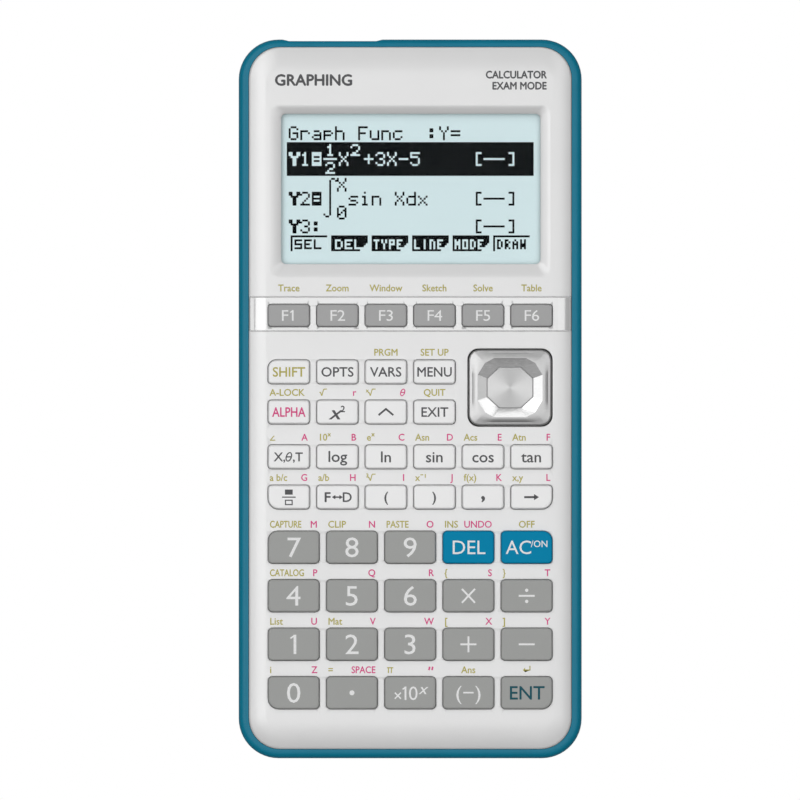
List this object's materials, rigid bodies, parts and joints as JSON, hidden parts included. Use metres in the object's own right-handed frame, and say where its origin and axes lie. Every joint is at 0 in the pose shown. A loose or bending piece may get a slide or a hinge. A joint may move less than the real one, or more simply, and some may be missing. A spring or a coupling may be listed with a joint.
{
  "type": "graphing calculator",
  "caption": "Slim upright graphing calculator: wide bevelled display, six soft keys, function and number keys, facetted cursor pad, screwed two-part case.",
  "frame": {"origin": "centre of the back, on the surface that the calculator lies on", "axes": "+X to the right across the key face, +Y along the face towards the display end, +Z out of the key face"},
  "size_m": [0.0834, 0.175, 0.0184],
  "materials": {
    "white_face": "off-white satin ABS with a faint sparkle",
    "blue_case": "petrol-blue satin ABS",
    "white_key": "white satin keytop plastic",
    "grey_key": "mid-grey satin keytop plastic",
    "blue_key": "blue satin keytop plastic",
    "silver_pad": "metallised plastic, satin with a spun centre",
    "window": "clear acrylic",
    "lcd": "pale cyan reflective liquid crystal display",
    "board": "green solder resist on glass-fibre board",
    "mat": "translucent grey silicone rubber",
    "cell": "plain printed sleeve on a steel can",
    "contact": "nickel-plated spring steel",
    "screw": "black zinc steel",
    "socket": "tinned steel shell and black insert",
    "restart": "light grey plastic"
  },
  "bodies": {
    "root": {"rear_case": "blue_case", "front_case": "white_face", "display_window": "window", "lcd_module": "lcd", "main_board": "board", "key_mat": "mat", "batteries": "cell", "battery_contacts": "contact", "case_screws": "screw", "port_sockets": "socket"},
    "battery_cover": {"battery_cover": "blue_case"},
    "cursor_pad_hub": {"cursor_pad_hub": "mat"},
    "cursor_pad": {"cursor_pad": "silver_pad"},
    "restart_button": {"restart_button": "restart"},
    "key_f1": {"key_f1": "grey_key"},
    "key_f2": {"key_f2": "grey_key"},
    "key_f3": {"key_f3": "grey_key"},
    "key_f4": {"key_f4": "grey_key"},
    "key_f5": {"key_f5": "grey_key"},
    "key_f6": {"key_f6": "grey_key"},
    "key_shift": {"key_shift": "white_key"},
    "key_options": {"key_options": "white_key"},
    "key_variables": {"key_variables": "white_key"},
    "key_menu": {"key_menu": "white_key"},
    "key_alpha": {"key_alpha": "white_key"},
    "key_square": {"key_square": "white_key"},
    "key_power": {"key_power": "white_key"},
    "key_exit": {"key_exit": "white_key"},
    "key_x_theta_t": {"key_x_theta_t": "white_key"},
    "key_log": {"key_log": "white_key"},
    "key_ln": {"key_ln": "white_key"},
    "key_sin": {"key_sin": "white_key"},
    "key_cos": {"key_cos": "white_key"},
    "key_tan": {"key_tan": "white_key"},
    "key_fraction": {"key_fraction": "white_key"},
    "key_convert": {"key_convert": "white_key"},
    "key_open_bracket": {"key_open_bracket": "white_key"},
    "key_close_bracket": {"key_close_bracket": "white_key"},
    "key_comma": {"key_comma": "white_key"},
    "key_store": {"key_store": "white_key"},
    "key_7": {"key_7": "grey_key"},
    "key_8": {"key_8": "grey_key"},
    "key_9": {"key_9": "grey_key"},
    "key_4": {"key_4": "grey_key"},
    "key_5": {"key_5": "grey_key"},
    "key_6": {"key_6": "grey_key"},
    "key_multiply": {"key_multiply": "grey_key"},
    "key_divide": {"key_divide": "grey_key"},
    "key_1": {"key_1": "grey_key"},
    "key_2": {"key_2": "grey_key"},
    "key_3": {"key_3": "grey_key"},
    "key_plus": {"key_plus": "grey_key"},
    "key_minus": {"key_minus": "grey_key"},
    "key_0": {"key_0": "grey_key"},
    "key_point": {"key_point": "grey_key"},
    "key_exponent": {"key_exponent": "grey_key"},
    "key_negative": {"key_negative": "grey_key"},
    "key_enter": {"key_enter": "grey_key"},
    "key_delete": {"key_delete": "blue_key"},
    "key_clear": {"key_clear": "blue_key"}
  },
  "joints": [
    {"name": "battery_cover_swing", "type": "hinge", "parent": "root", "child": "battery_cover", "pos_m": [0, 0.0778, 0.0004], "axis": [1, 0, 0], "range_deg": [0, 50]},
    {"name": "cursor_pad_tilt_up_down", "type": "hinge", "parent": "root", "child": "cursor_pad_hub", "pos_m": [0.0243, 0.00275, 0.0146], "axis": [1, 0, 0], "range_deg": [-4, 4], "stiffness_Nm_per_rad": 0.06, "deforming": ["key_mat"]},
    {"name": "cursor_pad_tilt_left_right", "type": "hinge", "parent": "cursor_pad_hub", "child": "cursor_pad", "pos_m": [0.0243, 0.00275, 0.0146], "axis": [0, 1, 0], "range_deg": [-4, 4], "stiffness_Nm_per_rad": 0.06, "deforming": ["key_mat"]},
    {"name": "restart_button_press", "type": "slide", "parent": "root", "child": "restart_button", "axis": [0, 0, 1], "range_m": [0, 0.0004], "stiffness_N_per_m": 250, "springref_m": -0.002},
    {"name": "key_f1_press", "type": "slide", "parent": "root", "child": "key_f1", "axis": [0, 0, 1], "range_m": [-0.0012, 0], "stiffness_N_per_m": 250, "springref_m": 0.002, "deforming": ["key_mat"]},
    {"name": "key_f2_press", "type": "slide", "parent": "root", "child": "key_f2", "axis": [0, 0, 1], "range_m": [-0.0012, 0], "stiffness_N_per_m": 250, "springref_m": 0.002, "deforming": ["key_mat"]},
    {"name": "key_f3_press", "type": "slide", "parent": "root", "child": "key_f3", "axis": [0, 0, 1], "range_m": [-0.0012, 0], "stiffness_N_per_m": 250, "springref_m": 0.002, "deforming": ["key_mat"]},
    {"name": "key_f4_press", "type": "slide", "parent": "root", "child": "key_f4", "axis": [0, 0, 1], "range_m": [-0.0012, 0], "stiffness_N_per_m": 250, "springref_m": 0.002, "deforming": ["key_mat"]},
    {"name": "key_f5_press", "type": "slide", "parent": "root", "child": "key_f5", "axis": [0, 0, 1], "range_m": [-0.0012, 0], "stiffness_N_per_m": 250, "springref_m": 0.002, "deforming": ["key_mat"]},
    {"name": "key_f6_press", "type": "slide", "parent": "root", "child": "key_f6", "axis": [0, 0, 1], "range_m": [-0.0012, 0], "stiffness_N_per_m": 250, "springref_m": 0.002, "deforming": ["key_mat"]},
    {"name": "key_shift_press", "type": "slide", "parent": "root", "child": "key_shift", "axis": [0, 0, 1], "range_m": [-0.0012, 0], "stiffness_N_per_m": 250, "springref_m": 0.002, "deforming": ["key_mat"]},
    {"name": "key_options_press", "type": "slide", "parent": "root", "child": "key_options", "axis": [0, 0, 1], "range_m": [-0.0012, 0], "stiffness_N_per_m": 250, "springref_m": 0.002, "deforming": ["key_mat"]},
    {"name": "key_variables_press", "type": "slide", "parent": "root", "child": "key_variables", "axis": [0, 0, 1], "range_m": [-0.0012, 0], "stiffness_N_per_m": 250, "springref_m": 0.002, "deforming": ["key_mat"]},
    {"name": "key_menu_press", "type": "slide", "parent": "root", "child": "key_menu", "axis": [0, 0, 1], "range_m": [-0.0012, 0], "stiffness_N_per_m": 250, "springref_m": 0.002, "deforming": ["key_mat"]},
    {"name": "key_alpha_press", "type": "slide", "parent": "root", "child": "key_alpha", "axis": [0, 0, 1], "range_m": [-0.0012, 0], "stiffness_N_per_m": 250, "springref_m": 0.002, "deforming": ["key_mat"]},
    {"name": "key_square_press", "type": "slide", "parent": "root", "child": "key_square", "axis": [0, 0, 1], "range_m": [-0.0012, 0], "stiffness_N_per_m": 250, "springref_m": 0.002, "deforming": ["key_mat"]},
    {"name": "key_power_press", "type": "slide", "parent": "root", "child": "key_power", "axis": [0, 0, 1], "range_m": [-0.0012, 0], "stiffness_N_per_m": 250, "springref_m": 0.002, "deforming": ["key_mat"]},
    {"name": "key_exit_press", "type": "slide", "parent": "root", "child": "key_exit", "axis": [0, 0, 1], "range_m": [-0.0012, 0], "stiffness_N_per_m": 250, "springref_m": 0.002, "deforming": ["key_mat"]},
    {"name": "key_x_theta_t_press", "type": "slide", "parent": "root", "child": "key_x_theta_t", "axis": [0, 0, 1], "range_m": [-0.0012, 0], "stiffness_N_per_m": 250, "springref_m": 0.002, "deforming": ["key_mat"]},
    {"name": "key_log_press", "type": "slide", "parent": "root", "child": "key_log", "axis": [0, 0, 1], "range_m": [-0.0012, 0], "stiffness_N_per_m": 250, "springref_m": 0.002, "deforming": ["key_mat"]},
    {"name": "key_ln_press", "type": "slide", "parent": "root", "child": "key_ln", "axis": [0, 0, 1], "range_m": [-0.0012, 0], "stiffness_N_per_m": 250, "springref_m": 0.002, "deforming": ["key_mat"]},
    {"name": "key_sin_press", "type": "slide", "parent": "root", "child": "key_sin", "axis": [0, 0, 1], "range_m": [-0.0012, 0], "stiffness_N_per_m": 250, "springref_m": 0.002, "deforming": ["key_mat"]},
    {"name": "key_cos_press", "type": "slide", "parent": "root", "child": "key_cos", "axis": [0, 0, 1], "range_m": [-0.0012, 0], "stiffness_N_per_m": 250, "springref_m": 0.002, "deforming": ["key_mat"]},
    {"name": "key_tan_press", "type": "slide", "parent": "root", "child": "key_tan", "axis": [0, 0, 1], "range_m": [-0.0012, 0], "stiffness_N_per_m": 250, "springref_m": 0.002, "deforming": ["key_mat"]},
    {"name": "key_fraction_press", "type": "slide", "parent": "root", "child": "key_fraction", "axis": [0, 0, 1], "range_m": [-0.0012, 0], "stiffness_N_per_m": 250, "springref_m": 0.002, "deforming": ["key_mat"]},
    {"name": "key_convert_press", "type": "slide", "parent": "root", "child": "key_convert", "axis": [0, 0, 1], "range_m": [-0.0012, 0], "stiffness_N_per_m": 250, "springref_m": 0.002, "deforming": ["key_mat"]},
    {"name": "key_open_bracket_press", "type": "slide", "parent": "root", "child": "key_open_bracket", "axis": [0, 0, 1], "range_m": [-0.0012, 0], "stiffness_N_per_m": 250, "springref_m": 0.002, "deforming": ["key_mat"]},
    {"name": "key_close_bracket_press", "type": "slide", "parent": "root", "child": "key_close_bracket", "axis": [0, 0, 1], "range_m": [-0.0012, 0], "stiffness_N_per_m": 250, "springref_m": 0.002, "deforming": ["key_mat"]},
    {"name": "key_comma_press", "type": "slide", "parent": "root", "child": "key_comma", "axis": [0, 0, 1], "range_m": [-0.0012, 0], "stiffness_N_per_m": 250, "springref_m": 0.002, "deforming": ["key_mat"]},
    {"name": "key_store_press", "type": "slide", "parent": "root", "child": "key_store", "axis": [0, 0, 1], "range_m": [-0.0012, 0], "stiffness_N_per_m": 250, "springref_m": 0.002, "deforming": ["key_mat"]},
    {"name": "key_7_press", "type": "slide", "parent": "root", "child": "key_7", "axis": [0, 0, 1], "range_m": [-0.0012, 0], "stiffness_N_per_m": 250, "springref_m": 0.002, "deforming": ["key_mat"]},
    {"name": "key_8_press", "type": "slide", "parent": "root", "child": "key_8", "axis": [0, 0, 1], "range_m": [-0.0012, 0], "stiffness_N_per_m": 250, "springref_m": 0.002, "deforming": ["key_mat"]},
    {"name": "key_9_press", "type": "slide", "parent": "root", "child": "key_9", "axis": [0, 0, 1], "range_m": [-0.0012, 0], "stiffness_N_per_m": 250, "springref_m": 0.002, "deforming": ["key_mat"]},
    {"name": "key_4_press", "type": "slide", "parent": "root", "child": "key_4", "axis": [0, 0, 1], "range_m": [-0.0012, 0], "stiffness_N_per_m": 250, "springref_m": 0.002, "deforming": ["key_mat"]},
    {"name": "key_5_press", "type": "slide", "parent": "root", "child": "key_5", "axis": [0, 0, 1], "range_m": [-0.0012, 0], "stiffness_N_per_m": 250, "springref_m": 0.002, "deforming": ["key_mat"]},
    {"name": "key_6_press", "type": "slide", "parent": "root", "child": "key_6", "axis": [0, 0, 1], "range_m": [-0.0012, 0], "stiffness_N_per_m": 250, "springref_m": 0.002, "deforming": ["key_mat"]},
    {"name": "key_multiply_press", "type": "slide", "parent": "root", "child": "key_multiply", "axis": [0, 0, 1], "range_m": [-0.0012, 0], "stiffness_N_per_m": 250, "springref_m": 0.002, "deforming": ["key_mat"]},
    {"name": "key_divide_press", "type": "slide", "parent": "root", "child": "key_divide", "axis": [0, 0, 1], "range_m": [-0.0012, 0], "stiffness_N_per_m": 250, "springref_m": 0.002, "deforming": ["key_mat"]},
    {"name": "key_1_press", "type": "slide", "parent": "root", "child": "key_1", "axis": [0, 0, 1], "range_m": [-0.0012, 0], "stiffness_N_per_m": 250, "springref_m": 0.002, "deforming": ["key_mat"]},
    {"name": "key_2_press", "type": "slide", "parent": "root", "child": "key_2", "axis": [0, 0, 1], "range_m": [-0.0012, 0], "stiffness_N_per_m": 250, "springref_m": 0.002, "deforming": ["key_mat"]},
    {"name": "key_3_press", "type": "slide", "parent": "root", "child": "key_3", "axis": [0, 0, 1], "range_m": [-0.0012, 0], "stiffness_N_per_m": 250, "springref_m": 0.002, "deforming": ["key_mat"]},
    {"name": "key_plus_press", "type": "slide", "parent": "root", "child": "key_plus", "axis": [0, 0, 1], "range_m": [-0.0012, 0], "stiffness_N_per_m": 250, "springref_m": 0.002, "deforming": ["key_mat"]},
    {"name": "key_minus_press", "type": "slide", "parent": "root", "child": "key_minus", "axis": [0, 0, 1], "range_m": [-0.0012, 0], "stiffness_N_per_m": 250, "springref_m": 0.002, "deforming": ["key_mat"]},
    {"name": "key_0_press", "type": "slide", "parent": "root", "child": "key_0", "axis": [0, 0, 1], "range_m": [-0.0012, 0], "stiffness_N_per_m": 250, "springref_m": 0.002, "deforming": ["key_mat"]},
    {"name": "key_point_press", "type": "slide", "parent": "root", "child": "key_point", "axis": [0, 0, 1], "range_m": [-0.0012, 0], "stiffness_N_per_m": 250, "springref_m": 0.002, "deforming": ["key_mat"]},
    {"name": "key_exponent_press", "type": "slide", "parent": "root", "child": "key_exponent", "axis": [0, 0, 1], "range_m": [-0.0012, 0], "stiffness_N_per_m": 250, "springref_m": 0.002, "deforming": ["key_mat"]},
    {"name": "key_negative_press", "type": "slide", "parent": "root", "child": "key_negative", "axis": [0, 0, 1], "range_m": [-0.0012, 0], "stiffness_N_per_m": 250, "springref_m": 0.002, "deforming": ["key_mat"]},
    {"name": "key_enter_press", "type": "slide", "parent": "root", "child": "key_enter", "axis": [0, 0, 1], "range_m": [-0.0012, 0], "stiffness_N_per_m": 250, "springref_m": 0.002, "deforming": ["key_mat"]},
    {"name": "key_delete_press", "type": "slide", "parent": "root", "child": "key_delete", "axis": [0, 0, 1], "range_m": [-0.0012, 0], "stiffness_N_per_m": 250, "springref_m": 0.002, "deforming": ["key_mat"]},
    {"name": "key_clear_press", "type": "slide", "parent": "root", "child": "key_clear", "axis": [0, 0, 1], "range_m": [-0.0012, 0], "stiffness_N_per_m": 250, "springref_m": 0.002, "deforming": ["key_mat"]}
  ]
}
